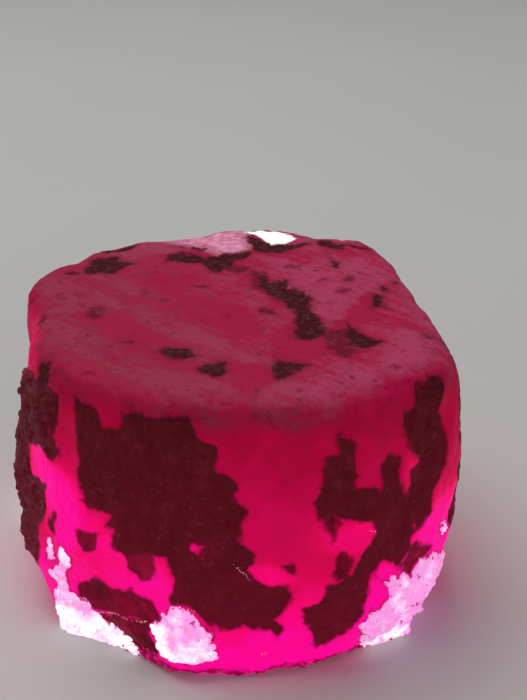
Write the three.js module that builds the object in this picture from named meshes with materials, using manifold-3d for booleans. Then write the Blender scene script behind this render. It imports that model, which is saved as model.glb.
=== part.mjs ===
// Raw ruby crystal: one squat, six-sided block of red corundum, broken flat across the top along
// its basal parting, with its sides rounded by wear and its corners broken near the base.
// Mica and pale feldspar grew together with it, so the whole lump is one solid.
// Millimetres, +Z up. The origin is at the middle of the base, which is the face it rests on.

import * as THREE from "three";
import { mergeVertices } from "three/addons/utils/BufferGeometryUtils.js";
import Module from "manifold-3d";

// ---- driving dimensions ------------------------------------------------------------------

// Every face is measured from one point on the upright axis, at this height above the base.
const MIDDLE_HEIGHT = 8.9;
const TOP_REACH = 9.5;
// The rounded foot would end this far below the middle; the resting face cuts it off at z = 0.
const FOOT_REACH = 10.4;

// How crisply two faces meet: 4 is a pebble, 60 is a cut gem.
const EDGE_CRISPNESS = 16;

// Prism faces, going round from +X: the way each one looks, how far it stands from the middle,
// and how many degrees it leans in towards the top.
const PRISM_FACES = [
  { name: "right", azimuth: 8, reach: 13.3, lean: 6 },
  { name: "back right", azimuth: 58, reach: 14.7, lean: 4 },
  { name: "back", azimuth: 104, reach: 15.2, lean: 4 },
  { name: "back left", azimuth: 138, reach: 15.2, lean: 4 },
  { name: "left back", azimuth: 163, reach: 15.4, lean: 6 },
  { name: "left", azimuth: 193, reach: 14.1, lean: 4 },
  { name: "front left", azimuth: 237, reach: 14.7, lean: 2 },
  { name: "front", azimuth: 271, reach: 15.6, lean: 1 },
  { name: "front right", azimuth: 309, reach: 16.5, lean: 2 },
];

// Broken lower corners: azimuth and downward slope of each break, and its reach from the middle.
const LOWER_BREAKS = [
  { name: "left", azimuth: 200, slope: 36, reach: 16.6 },
  { name: "front left", azimuth: 238, slope: 40, reach: 17.4 },
  { name: "front right", azimuth: 300, slope: 42, reach: 17.6 },
  { name: "right", azimuth: 345, slope: 36, reach: 14.9 },
  { name: "back right", azimuth: 50, slope: 40, reach: 15.8 },
  { name: "back", azimuth: 110, slope: 42, reach: 16.4 },
];

// Crusts, lips and knobs that stand proud of the faces, and hollows that sink below them:
// where each one sits, its radius and its height.
const SWELLINGS = [
  { name: "left mica crust", at: [-14.6, -4.5, 8.5], radius: 6.0, height: 0.7 },
  { name: "back left lip", at: [-12.6, 2.6, 17.4], radius: 4.2, height: 0.8 },
  { name: "hollow under the lip", at: [-13.6, -2.4, 14.8], radius: 2.8, height: -0.6 },
  { name: "back right lip", at: [9.0, 11.2, 17.6], radius: 3.6, height: 1.0 },
  { name: "hollow by the back right lip", at: [12.0, 5.2, 17.2], radius: 3.4, height: -0.4 },
  { name: "worn right shoulder", at: [13.2, -4.6, 17.4], radius: 3.6, height: -0.5 },
  { name: "left mica skirt", at: [-12.9, -7.0, 4.4], radius: 2.8, height: 0.6 },
  { name: "hollow in the right rim", at: [14.2, -9.4, 8.4], radius: 3.4, height: -0.44 },
  { name: "front mica", at: [-6.0, -13.5, 8.0], radius: 5.0, height: 0.3 },
  { name: "right mica", at: [10.5, -11.5, 9.5], radius: 5.0, height: 0.3 },
  { name: "front foot knob", at: [-3.5, -15.0, 1.8], radius: 3.0, height: 0.7 },
  { name: "left foot crust", at: [-10.0, -10.5, 1.8], radius: 3.0, height: 0.5 },
  { name: "right foot crust", at: [11.0, -10.5, 2.2], radius: 3.5, height: 0.5 },
  { name: "back mica", at: [3.0, 14.5, 11.0], radius: 5.0, height: 0.4 },
];

// Worn unevenness: waves across the whole lump. Each has the way it runs, in radians per mm, its
// height and where it starts.
const WORN_WAVES = [
  { along: [0.42, 0.25, 0.15], height: 0.14, phase: 0.6 },
  { along: [-0.3, 0.51, 0.33], height: 0.12, phase: 2.1 },
  { along: [0.75, -0.55, 0.62], height: 0.08, phase: 4.0 },
  { along: [-1.05, -0.85, 0.9], height: 0.06, phase: 1.3 },
  { along: [1.5, 1.1, -1.3], height: 0.04, phase: 5.2 },
];

const SURFACE_DETAIL = 20; // cuts along each edge of the icosahedron that the surface starts from
const CUTTING_BLOCK = 80; // side of the block that keeps what is above the resting face

const RUBY = { color: 0x9a0f45, roughness: 0.55, metalness: 0 };

// ---- shape -------------------------------------------------------------------------------

const middle = new THREE.Vector3(0, 0, MIDDLE_HEIGHT);

// The unit vector that looks towards an azimuth and an elevation, both in degrees.
function outward(azimuth, elevation) {
  const a = THREE.MathUtils.degToRad(azimuth);
  const e = THREE.MathUtils.degToRad(elevation);
  return new THREE.Vector3(Math.cos(a) * Math.cos(e), Math.sin(a) * Math.cos(e), Math.sin(e));
}

const faces = [
  { normal: outward(0, 90), reach: TOP_REACH },
  { normal: outward(0, -90), reach: FOOT_REACH },
  ...PRISM_FACES.map((f) => ({ normal: outward(f.azimuth, f.lean), reach: f.reach })),
  ...LOWER_BREAKS.map((b) => ({ normal: outward(b.azimuth, -b.slope), reach: b.reach })),
];

// Distance from the middle to the rounded block's surface along one direction: the planes are
// blended by a power mean, so a high crispness follows the nearest plane and rounds the edges.
function blockRadius(direction) {
  let sum = 0;
  for (const { normal, reach } of faces) {
    sum += Math.max(0, normal.dot(direction) / reach) ** EDGE_CRISPNESS;
  }
  return sum ** (-1 / EDGE_CRISPNESS);
}

// Height of the worn waves, swellings and hollows over the plain block, at one point of its surface.
function relief(point) {
  let height = 0;
  for (const wave of WORN_WAVES) {
    const turn = new THREE.Vector3(...wave.along).dot(point);
    height += wave.height * Math.sin(turn + wave.phase);
  }
  for (const swelling of SWELLINGS) {
    const away = point.distanceTo(new THREE.Vector3(...swelling.at)) / swelling.radius;
    height += swelling.height * Math.exp(-2 * away * away);
  }
  return height;
}

// A sphere of small triangles, each corner pushed out to the surface of the lump.
function lumpGeometry() {
  const sphere = new THREE.IcosahedronGeometry(1, SURFACE_DETAIL);
  sphere.deleteAttribute("normal");
  sphere.deleteAttribute("uv");
  const lump = mergeVertices(sphere, 1e-5);
  const corners = lump.attributes.position;
  const direction = new THREE.Vector3();
  const point = new THREE.Vector3();
  for (let i = 0; i < corners.count; i += 1) {
    direction.fromBufferAttribute(corners, i).normalize();
    const plain = blockRadius(direction);
    point.copy(direction).multiplyScalar(plain).add(middle);
    point.addScaledVector(direction, relief(point));
    corners.setXYZ(i, point.x, point.y, point.z);
  }
  return lump;
}

// ---- joining and cutting -----------------------------------------------------------------

const wasm = await Module();
wasm.setup();

function solidOf(geometry) {
  return new wasm.Manifold(
    new wasm.Mesh({
      numProp: 3,
      vertProperties: new Float32Array(geometry.attributes.position.array),
      triVerts: new Uint32Array(geometry.index.array),
    }),
  );
}

function geometryOf(solid) {
  const mesh = solid.getMesh();
  const geometry = new THREE.BufferGeometry();
  geometry.setAttribute("position", new THREE.BufferAttribute(mesh.vertProperties, 3));
  geometry.setIndex(new THREE.BufferAttribute(mesh.triVerts, 1));
  return geometry;
}

// The block that keeps everything above z = 0, so that its lower face cuts the resting face.
function keepingBlock() {
  const block = new THREE.BoxGeometry(CUTTING_BLOCK, CUTTING_BLOCK, CUTTING_BLOCK);
  block.deleteAttribute("normal");
  block.deleteAttribute("uv");
  return mergeVertices(block.translate(0, 0, CUTTING_BLOCK / 2));
}

// ---- the crystal -------------------------------------------------------------------------

function rubyCrystal() {
  const cut = solidOf(lumpGeometry()).intersect(solidOf(keepingBlock()));
  const geometry = geometryOf(cut);
  geometry.computeBoundingBox();
  const centre = geometry.boundingBox.getCenter(new THREE.Vector3());
  geometry.translate(-centre.x, -centre.y, 0);
  geometry.computeVertexNormals();
  const crystal = new THREE.Mesh(geometry, new THREE.MeshStandardMaterial(RUBY));
  crystal.name = "ruby_crystal";
  return crystal;
}

const part = new THREE.Group();
part.add(rubyCrystal());

export default part;
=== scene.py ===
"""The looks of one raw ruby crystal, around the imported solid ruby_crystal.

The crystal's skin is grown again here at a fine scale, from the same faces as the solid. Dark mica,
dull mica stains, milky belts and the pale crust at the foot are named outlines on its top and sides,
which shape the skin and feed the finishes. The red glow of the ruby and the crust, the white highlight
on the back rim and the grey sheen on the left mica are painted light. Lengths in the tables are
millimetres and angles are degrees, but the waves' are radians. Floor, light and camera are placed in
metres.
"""

import itertools
import math

import bpy
import numpy as np
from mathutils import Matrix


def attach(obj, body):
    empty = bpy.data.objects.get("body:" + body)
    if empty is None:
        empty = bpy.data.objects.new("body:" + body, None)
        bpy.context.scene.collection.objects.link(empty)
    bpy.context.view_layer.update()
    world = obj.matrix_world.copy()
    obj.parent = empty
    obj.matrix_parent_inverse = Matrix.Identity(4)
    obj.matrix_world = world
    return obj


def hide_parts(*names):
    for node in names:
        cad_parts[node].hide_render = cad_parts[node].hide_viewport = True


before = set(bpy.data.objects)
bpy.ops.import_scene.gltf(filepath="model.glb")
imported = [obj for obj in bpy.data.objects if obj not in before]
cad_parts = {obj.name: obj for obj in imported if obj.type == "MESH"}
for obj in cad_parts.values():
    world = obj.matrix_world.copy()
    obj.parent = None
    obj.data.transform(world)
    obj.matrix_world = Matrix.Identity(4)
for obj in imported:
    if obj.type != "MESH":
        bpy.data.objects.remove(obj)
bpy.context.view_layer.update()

MM = 0.001

# ---- the block: the faces of the solid ----------------------------------------------------

MIDDLE_HEIGHT = 8.9
TOP_REACH = 9.5
FOOT_REACH = 10.4
EDGE_CRISPNESS = 16

# azimuth, reach from the middle, lean towards the top
PRISM_FACES = {
    "right": (8, 13.3, 6),
    "back right": (58, 14.7, 4),
    "back": (104, 15.2, 4),
    "back left": (138, 15.2, 4),
    "left back": (163, 15.4, 6),
    "left": (193, 14.1, 4),
    "front left": (237, 14.7, 2),
    "front": (271, 15.6, 1),
    "front right": (309, 16.5, 2),
}

# azimuth, reach, downward slope of the broken lower corners
LOWER_BREAKS = {
    "left": (200, 16.6, 36),
    "front left": (238, 17.4, 40),
    "front right": (300, 17.6, 42),
    "right": (345, 14.9, 36),
    "back right": (50, 15.8, 40),
    "back": (110, 16.4, 42),
}

# place, radius, height of what stands proud
SWELLINGS = {
    "left mica crust": ((-14.6, -4.5, 8.5), 6.0, 0.7),
    "back left lip": ((-12.6, 2.6, 17.4), 4.2, 0.8),
    "hollow under the lip": ((-13.6, -2.4, 14.8), 2.8, -0.6),
    "back right lip": ((9.0, 11.2, 17.6), 3.6, 1.0),
    "hollow by the back right lip": ((12.0, 5.2, 17.2), 3.4, -0.4),
    "worn right shoulder": ((13.2, -4.6, 17.4), 3.6, -0.5),
    "left mica skirt": ((-12.9, -7.0, 4.4), 2.8, 0.6),
    "hollow in the right rim": ((14.2, -9.4, 8.4), 3.4, -0.44),
    "front mica": ((-6.0, -13.5, 8.0), 5.0, 0.3),
    "right mica": ((10.5, -11.5, 9.5), 5.0, 0.3),
    "front foot knob": ((-3.5, -15.0, 1.8), 3.0, 0.7),
    "left foot crust": ((-10.0, -10.5, 1.8), 3.0, 0.5),
    "right foot crust": ((11.0, -10.5, 2.2), 3.5, 0.5),
    "back mica": ((3.0, 14.5, 11.0), 5.0, 0.4),
}

# direction with its radians per mm, height, phase in radians
WORN_WAVES = [
    ((0.42, 0.25, 0.15), 0.14, 0.6),
    ((-0.3, 0.51, 0.33), 0.12, 2.1),
    ((0.75, -0.55, 0.62), 0.08, 4.0),
    ((-1.05, -0.85, 0.9), 0.06, 1.3),
    ((1.5, 1.1, -1.3), 0.04, 5.2),
]

# ---- what grew on it: outlines as (azimuth, height) on the sides and (x, y) on the top ------


def spot(x, y, half_length, half_width, turn=0):
    """The outline of a small oval growth, its length turned this far from x."""
    along = (math.cos(math.radians(turn)), math.sin(math.radians(turn)))
    steps = [math.tau * i / 8 for i in range(8)]
    ring = [(half_length * math.cos(step), half_width * math.sin(step)) for step in steps]
    return [(x + a * along[0] - b * along[1], y + a * along[1] + b * along[0]) for a, b in ring]


SIDE_MICA = {
    "front shield": [
        (232, 16.5), (238, 16.5), (241, 15.5), (245, 16), (248, 17), (256, 17), (263, 17.5),
        (264.5, 16), (268, 15.5), (269, 14.5), (272, 13.5), (271, 12.3), (275, 11.6), (274.5, 11),
        (271.5, 9.3), (267, 8.8), (263, 9.2), (261, 8), (255, 8), (247, 7.5), (244, 8), (244, 9),
        (241, 9), (243.5, 10), (235, 10), (232.5, 11), (233, 14),
    ],
    "shield lobe": [
        (257.5, 8.6), (262, 9), (263.7, 8.1), (266, 9.5), (272, 9.9), (276.5, 9), (275, 7.6), (279, 6.6),
        (283, 6.5), (284.7, 5.6), (283.5, 4.8), (281.5, 4.2), (282.5, 3.5), (281, 3), (279, 3.5),
        (269.5, 3.5), (262, 5), (258.5, 5),
    ],
    "right bar": [
        (314.5, 17.5), (318, 17.8), (321, 17.2), (319, 15.5), (321, 13.5), (320, 12), (316, 10.8),
        (315.5, 9.5), (311, 8.8), (309, 11), (310, 12.8), (313, 13), (311, 14.2), (308, 15.5),
        (309, 16.2), (312, 16.5),
    ],
    "right arm": [
        (292.5, 16), (296, 16), (296, 14), (297, 12.8), (302, 12.4), (302, 10.4), (296, 10.8),
        (293, 11.2), (290, 10.9), (289, 12), (290.5, 13.2), (290.5, 15), (292.5, 15.2),
    ],
    "right stem": [
        (303, 14), (305, 14.6), (308, 14), (306, 12.8), (308, 11.8), (311, 10), (310, 7.4), (307, 6.9),
        (303, 7.5), (300.5, 6), (298, 3.5), (295, 2.6), (290, 1.7), (288, 3), (286.5, 4.8),
        (290.5, 5.5), (291, 6.8), (296, 7.3), (299.5, 9), (300, 10.5), (302.5, 12.5),
    ],
    "left tongue": [
        (215.5, 15.8), (216, 17.5), (219, 18), (222, 17.5), (222, 16.6), (226, 16.2), (222, 15.6),
    ],
    "left crust": [
        (212, 16.5), (223, 15.8), (223, 14.5), (222, 13.5), (226, 12.8), (224, 12), (217, 12.3),
        (207, 11), (212, 9.7), (221, 10), (219.5, 8), (217, 6.5), (217, 4), (209, 2.8), (200, 4),
        (192, 6.5), (184, 7.5), (178, 10), (180, 12.5), (187, 14.5),
    ],
    "right rim": [
        (327, 14.5), (330, 17.5), (336, 18), (337, 16), (345, 15), (352, 11.5), (347, 10), (349, 8),
        (343, 6), (338, 7), (335, 4), (328, 5), (325.5, 8), (326.5, 9.5), (325.5, 11), (328, 12),
        (326.5, 13),
    ],
    "right patch": [
        (6, 15.5), (14, 16), (24, 15), (27, 12), (21, 9.5), (24, 7), (17, 5), (8, 6.5), (4, 9), (9, 11),
        (2, 13),
    ],
    "back right patch": [
        (48, 10), (57, 10.5), (66, 9), (69, 6.5), (62, 4.5), (64, 2), (54, 1.5), (47, 3.5), (50, 6),
        (44, 7.5),
    ],
    "back shield": [
        (80, 17), (90, 16.5), (99, 17.5), (111, 16), (117, 13.5), (113, 11), (118, 8.5), (111, 6.5),
        (103, 7.5), (97, 5), (88, 6), (84, 8.5), (77, 10), (80, 12.5), (74, 14.5),
    ],
    "back left bar": [
        (136, 15), (143, 15.5), (149, 13.5), (147, 10.5), (152, 7.5), (149, 4.5), (142, 2), (136, 3),
        (139, 6), (134, 8.5), (138, 11.5),
    ],
    "back left drop": [(162, 16), (168, 15), (169, 12), (164, 10.5), (158, 12)],
}

TOP_MICA = {
    "back left flag": [(-10.2, 7.2), (-8.3, 7.2), (-7.8, 6.2), (-6.6, 5.5), (-8, 4.6), (-9.8, 3.4)],
    "back left rim": [(-9.5, 8.5), (-8, 10.5), (-7.2, 11), (-7.5, 10), (-9, 8.3)],
    "back band": [
        (-4.6, 7.5), (-4, 8.4), (-2, 8), (0, 9), (1.5, 8.8), (1.2, 8), (0.2, 7.5), (-0.2, 5.8), (-1, 5),
        (-2, 6.7), (-4.6, 6.5),
    ],
    "back hairline": [(-4.2, 10), (-2, 9.4), (-2.2, 9), (-3.8, 9.5)],
    "back rim": [
        (0.8, 11), (1.4, 12), (2, 11.2), (4, 10.4), (5.8, 10.4), (4.8, 9.5), (3.4, 8.4), (1.4, 9),
    ],
    "back edge beads": [(6, 10.3), (7, 11), (7.5, 10), (8.3, 9.8), (8, 9), (7, 9.3)],
    "back right edge": [(8.7, 9.8), (9.8, 9.9), (9.8, 9.3), (9, 9.3)],
    "diagonal vein": [
        (1.7, 4.3), (2.4, 4.6), (2.5, 3.2), (3.8, 3), (4.3, 2), (5.3, 1), (5.4, -2), (6, -4.5),
        (5.8, -6), (5, -6.5), (4.2, -6.2), (4.3, -1.8), (3, 0.2), (2, 2),
    ],
    "right flag": [(7.5, -3.5), (8, -5.2), (9.4, -7.3), (8.5, -7.8), (7.2, -7.6), (7.2, -5.8)],
    "right star": [(9.4, 0.7), (9.9, 0.5), (9.9, -0.4), (10.5, -1.5), (9.9, -1.1), (9.3, -1.6)],
    "back right spot": [(6.9, 5.5), (7.1, 7), (7.6, 7), (7.2, 5)],
    "front twin": [
        (-4, -8), (-3.4, -7.4), (-2.4, -8), (-1.6, -9), (-2.2, -9.4), (-3.2, -9), (-3.8, -8.7),
    ],
    "front spot": [(-1.4, -10.8), (-0.9, -10), (-0.1, -10.2), (0.1, -11.4), (-0.6, -12.2)],
    "front right spot": [(2.6, -11.2), (3, -9.5), (4.8, -10.7), (3.6, -11.6), (2.8, -12.6)],
    "left sliver": spot(-10.8, 3.6, 0.5, 0.2),
    "dash": spot(-6, -7, 0.4, 0.15, -30),
    "edge fleck": spot(10.3, 1.5, 0.4, 0.1, 90),
    "far edge fleck": spot(11.2, 2.8, 0.3, 0.1, 90),
    "left slit": spot(-11.9, -2.9, 0.7, 0.15, 100),
    "right corner bead": spot(13.7, -7.2, 0.25, 0.2),
}

# mica so thin, or so deep in the ruby, that red still shows through it
SIDE_STAIN = {
    "shield drip": [(246.5, 7.8), (254.5, 8.2), (254.3, 6.8), (252.5, 5.9), (249, 5.6), (247, 6.3)],
    "shield sill": [(233, 10), (241, 11), (243, 10), (236, 9.6)],
    "small square": [(233.5, 8.3), (239, 8.6), (239, 7.3), (235.5, 6.8), (233, 7.5)],
    "left hand": [
        (232, 4), (237, 5), (242, 4.5), (247, 4.8), (253, 4.7), (255, 3.8), (252, 3.3), (236, 2.4),
        (231, 3),
    ],
    "left wedge": [
        (236.5, 2), (243, 2.7), (253, 3.3), (252.5, 2.4), (255, 1.4), (250, 0.4), (247, 0.9), (240, 1.3),
    ],
    "arm toe": [(290.5, 11.3), (293, 11.3), (292, 9.6), (291, 10)],
    "stem spur": [(292.5, 8.3), (295, 8.8), (295.5, 7.2), (292.5, 7)],
    "right claw": [
        (307, 6.7), (309.5, 7.4), (312, 8), (313.5, 7.5), (317, 6.9), (313, 6), (311, 5.4), (308.5, 5.8),
    ],
    "front dot": [(282, 8.3), (285, 8.2), (284.3, 7.4), (283, 7.7)],
    "left dot": [(221.5, 7.8), (224.5, 8.2), (224, 6.8), (221.5, 7)],
    "right back stain": [(28, 9), (36, 10.5), (41, 8), (37, 5), (30, 5.5)],
    "back stain": [(121, 9), (128, 10.5), (131, 7), (126, 3.5), (120, 4.5)],
    "beside the tongue": [(222, 16.2), (226, 16), (224, 13.5), (226, 12.6), (221, 13.5)],
    "arm dots": [(292, 16.3), (293.5, 16.6), (293.5, 16)],
}

TOP_STAIN = {
    "below the vein": [(6, -4.5), (7.3, -5), (7.4, -7.8), (8.2, -8.2), (7.2, -9.3), (6, -7.8)],
    "vein head": [(1.4, 5.3), (2.4, 5.2), (2.4, 1.5), (1.5, 1.5)],
    "beside the vein": spot(2.4, -2.1, 0.8, 0.5, -30),
    "band end": spot(0.4, 5.9, 0.7, 0.7),
    "left shade": spot(-8.6, -2.3, 1, 0.5, 90),
    "left small": spot(-2, 2.2, 0.5, 0.6),
    "back right shade": spot(8, 2.8, 0.4, 0.3, 60),
    "right shade": spot(7.6, 1, 0.4, 0.3),
    "thin line": spot(4.2, 6, 0.4, 0.15),
    "far dot": spot(6.25, 3, 0.2, 0.3),
}

# pale feldspar crust
SIDE_CRUST = {
    "left foot": [
        (223, 2.4), (227, 3.1), (231, 3), (235.5, 2.4), (238, 1.6), (248, 1), (248, -0.6), (223, -0.6),
    ],
    "front foot": [
        (253, 3.4), (255.5, 4), (258.5, 4.8), (262, 4.6), (267.5, 3.7), (267, 2.8), (268.5, 2),
        (267, 1.3), (261, 1), (255, 1.2), (253.5, 2.4),
    ],
    "right foot": [
        (303.5, 6.1), (306.5, 6.1), (309, 5.5), (311, 5.4), (313, 6), (316, 6.4), (320, 5.8), (327, 4.5),
        (329, 3), (326, 1), (316, 0.2), (306, 0.2), (300.5, 0.8), (300, 3.6), (301.5, 4.2),
        (305.5, 4.3), (305.5, 5.6),
    ],
    "left drip": [(219.5, 6), (221.5, 6.4), (223, 5), (220.5, 4.7)],
    "left strip": [
        (226.5, 6.3), (230, 5.7), (228, 4.8), (227.8, 3.3), (225, 3), (221.5, 3.5), (225, 4.6),
    ],
    "back foot": [(70, 3.5), (78, 4), (88, 3), (96, 4), (104, 2), (101, -0.5), (72, -0.5)],
    "right back foot": [(10, 3), (18, 3.5), (28, 2.5), (30, -0.5), (8, -0.5)],
    "left back foot": [(152, 3), (160, 4), (170, 3), (176, 1.5), (174, -0.5), (150, -0.5)],
    "right drop": [(320, 7.8), (323, 8), (323, 6.6), (320.5, 7)],
}

# where the crust is whitest, partly its own pale colour and partly painted white glare
SIDE_WHITE_AND_GLARE = {
    "left foot": [(229, 2.2), (236, 2), (249, 1), (249, -1), (222, -1), (222, 1.8)],
    "front foot": [(252, 3.5), (256, 3.6), (257, 2.4), (261, 1.4), (259, 0.7), (254, 0.8), (252, 2.2)],
    "right foot": [(302, 1.4), (312, 1.2), (324, 1), (331, 1.4), (331, -1), (300, -1)],
    "left strip": [(227.5, 6.2), (230.5, 5.6), (228, 5.3)],
    "back foot": [(70, 2), (86, 2.5), (104, 1.5), (104, -1), (70, -1)],
    "left back foot": [(150, 1.5), (164, 2), (176, 1), (176, -1), (150, -1)],
}

# a painted white highlight on the back rim, drawn as a glowing patch of the pale crust finish
TOP_PAINTED_HIGHLIGHT = {
    "white highlight": [
        (0.6, 13.2), (2, 13.9), (3.2, 13.8), (4.3, 12.4), (4.4, 11.3), (3.8, 10.6), (2.8, 10.8),
        (2, 11.8), (1.2, 12.4),
    ],
}

# a paler patch of clearer stone beside the highlight, with painted light coming through the thin back rim
TOP_LIT_WINDOW = {
    "back window": [(-5.5, 12), (-2, 13.2), (1, 13), (1, 9.2), (-1, 8.5), (-2, 9.3), (-3.5, 10)],
}

# milky belts of the top
TOP_MILK = {
    "front left belt": [
        (-12, -1), (-9.5, -4), (-7, -9), (1.5, -13.5), (0, -14.5), (-4, -13.5), (-9.5, -9), (-11.5, -4),
    ],
    "front right belt": [
        (2.5, -13), (6.5, -12), (9, -10), (11, -5), (12.5, -6), (12.5, -9), (7, -14), (2.5, -14.5),
    ],
    "left field": [(-13, 1), (-12, 4), (-7, 3), (-6.5, 0), (-5, -3), (-8, -2), (-11, -3.5)],
    "middle streak": [(-7, 0), (-3.5, -4.5), (-1.5, -5), (2.5, -11), (-1.5, -7.5), (-5, -4.5)],
    "far right field": [
        (3, 7.5), (6, 6.5), (9, 8), (11, 7), (11.5, 2.5), (8, 0), (6, -4), (5, -1),
    ],
    "back field": [(-8, 6.5), (0, 11), (6, 9.5), (9, 10.5), (8, 12), (0, 14), (-7, 12), (-10, 8)],
    "left ridge": [(-12.5, -1), (-10, -8), (-11, -8), (-12.8, -2.5)],
    "right rim belt": [(10, 3), (11, 2.5), (12.5, -3.5), (13.5, -6.5), (14.3, -6), (11, 7.5), (10, 6)],
}

# pools of clear red between the belts
TOP_POOLS = {
    "vein pool": [(3, -6.5), (4, -4.5), (4.5, -6), (7, -8.5), (4.5, -10), (3, -9.5)],
    "right pool": [(7.7, -2.5), (9.2, 0.5), (9.2, -3.5), (8, -4)],
    "left streak": [(-9, -2), (-7, -3), (-4.2, -7), (-7.5, -5)],
    "back pool": [(-5.3, 3), (-3.2, 4.3), (-2.6, 0.8), (-4.5, 0.5)],
    "centre streak": [(-3.5, -1.5), (0.5, -1.5), (1.8, -4), (1.8, -6.5), (-1.2, -3.5)],
    "front pool": [(0.2, -11), (2.2, -10.5), (2.5, -12.7), (1.3, -14), (0.3, -13)],
    "front left pool": [(-9.5, -9.2), (-7.5, -10.5), (-4, -13.7), (-8.5, -11.3)],
}

# slopes of the top where the pale bloom thins
TOP_SLOPE = {
    "left slope": [(-13.5, 2.5), (-12, -2.5), (-11, -8), (-12.5, -8), (-14.5, 0)],
    "front right slope": [(6.5, -14.3), (11, -10.2), (12.5, -11), (9, -15), (6.5, -15.4)],
}

# ---- unevenness ------------------------------------------------------------------------------

HUMP_HEIGHT = 1.6  # brings the humps to about 1


def unevenness(points, size, seed):
    """Smooth humps and hollows between about -1 and 1, roughly one size apart, the same each run."""
    random = np.random.default_rng(seed)
    order = random.permutation(256)
    slopes = random.normal(size=(256, 3))
    slopes /= np.linalg.norm(slopes, axis=1, keepdims=True)
    scaled = points / size
    cell = np.floor(scaled).astype(int)
    part = scaled - cell
    blend = part**3 * (part * (part * 6 - 15) + 10)
    total = np.zeros(len(points))
    for corner in itertools.product((0, 1), repeat=3):
        at = (cell + corner) & 255
        pick = order[(order[(order[at[:, 0]] + at[:, 1]) & 255] + at[:, 2]) & 255]
        climb = ((part - corner) * slopes[pick]).sum(1)
        total += climb * np.prod(np.where(corner, blend, 1 - blend), axis=1)
    return total * HUMP_HEIGHT


def ragged(points, size, seed, layers=3):
    """Unevenness with finer and finer layers on it."""
    return sum(unevenness(points, size / 2**i, seed + i) / 2**i for i in range(layers))


def plates(points, size, seed):
    """Nearest-plate pattern: how far in from each plate's edge a point is, and the plate's own level."""
    random = np.random.default_rng(seed)
    order = random.permutation(256)
    middles = random.random((256, 3))
    levels = random.random(256)
    scaled = points / size
    cell = np.floor(scaled).astype(int)
    nearest = np.full(len(points), np.inf)
    second = np.full(len(points), np.inf)
    level = np.zeros(len(points))
    for step in itertools.product((-1, 0, 1), repeat=3):
        at = cell + step
        wrapped = at & 255
        pick = order[(order[(order[wrapped[:, 0]] + wrapped[:, 1]) & 255] + wrapped[:, 2]) & 255]
        away = np.linalg.norm(scaled - at - middles[pick], axis=1)
        closer = away < nearest
        second = np.where(closer, nearest, np.minimum(second, away))
        level = np.where(closer, levels[pick], level)
        nearest = np.where(closer, away, nearest)
    return (second - nearest) * size, level


def ease(low, high, value):
    """0 below low, 1 above high, and a smooth rise between."""
    share = np.clip((value - low) / (high - low), 0, 1)
    return share * share * (3 - 2 * share)


# ---- the lump's skin -------------------------------------------------------------------------


def outward(azimuth, elevation):
    """The unit vector that points this way from the middle."""
    a, e = math.radians(azimuth), math.radians(elevation)
    return np.array([math.cos(a) * math.cos(e), math.sin(a) * math.cos(e), math.sin(e)])


BLOCK_FACES = [
    (outward(0, 90), TOP_REACH),
    (outward(0, -90), FOOT_REACH),
    *((outward(azimuth, lean), reach) for azimuth, reach, lean in PRISM_FACES.values()),
    *((outward(azimuth, -slope), reach) for azimuth, reach, slope in LOWER_BREAKS.values()),
]


def block_skin(directions):
    """The rounded block with its worn waves and swellings, as the solid has it."""
    total = np.zeros(len(directions))
    for normal, reach in BLOCK_FACES:
        total += np.maximum(0, directions @ normal / reach) ** EDGE_CRISPNESS
    plain = directions * total[:, None] ** (-1 / EDGE_CRISPNESS) + (0, 0, MIDDLE_HEIGHT)
    height = np.zeros(len(directions))
    for along, rise, phase in WORN_WAVES:
        height += rise * np.sin(plain @ np.array(along) + phase)
    for place, radius, rise in SWELLINGS.values():
        away = np.linalg.norm(plain - np.array(place), axis=1) / radius
        height += rise * np.exp(-2 * away**2)
    return plain + directions * height[:, None]


def box_net(cells, frame_width):
    """A net of squares over a box, with only a frame of them left round the underside.

    Returns the net's corners from -1 to 1, its squares, and the loop round the opening below.
    """
    count = np.array(cells)

    def numbered(i, j, k):
        return (i * (count[1] + 1) + j) * (count[2] + 1) + k

    squares = []
    for axis in range(3):
        u, v = (axis + 1) % 3, (axis + 2) % 3
        a, b = (g.ravel() for g in np.meshgrid(np.arange(count[u]), np.arange(count[v]), indexing="ij"))
        for side in (0, count[axis]):
            keep = np.ones(len(a), bool)
            if axis == 2 and side == 0:
                inner_a = (a >= frame_width) & (a < count[u] - frame_width)
                inner_b = (b >= frame_width) & (b < count[v] - frame_width)
                keep = ~(inner_a & inner_b)
            loop = []
            for da, db in ((0, 0), (1, 0), (1, 1), (0, 1)):
                at = [None] * 3
                at[axis] = np.full(keep.sum(), side)
                at[u] = a[keep] + da
                at[v] = b[keep] + db
                loop.append(numbered(*at))
            squares.append(np.stack(loop if side else loop[::-1], axis=1))
    squares = np.concatenate(squares)

    near, far_x, far_y = frame_width, count[0] - frame_width, count[1] - frame_width
    ring = [(near, j) for j in range(near, far_y)]
    ring += [(i, far_y) for i in range(near, far_x)]
    ring += [(far_x, j) for j in range(far_y, near, -1)]
    ring += [(i, near) for i in range(far_x, near, -1)]
    opening = np.array([numbered(i, j, 0) for i, j in ring])

    used, squares = np.unique(squares, return_inverse=True)
    opening = np.searchsorted(used, opening)
    k = used % (count[2] + 1)
    j = used // (count[2] + 1) % (count[1] + 1)
    i = used // (count[2] + 1) // (count[1] + 1)
    corners = np.stack([i, j, k], axis=1) / count * 2 - 1
    return corners, squares.reshape(-1, 4), opening


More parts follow.
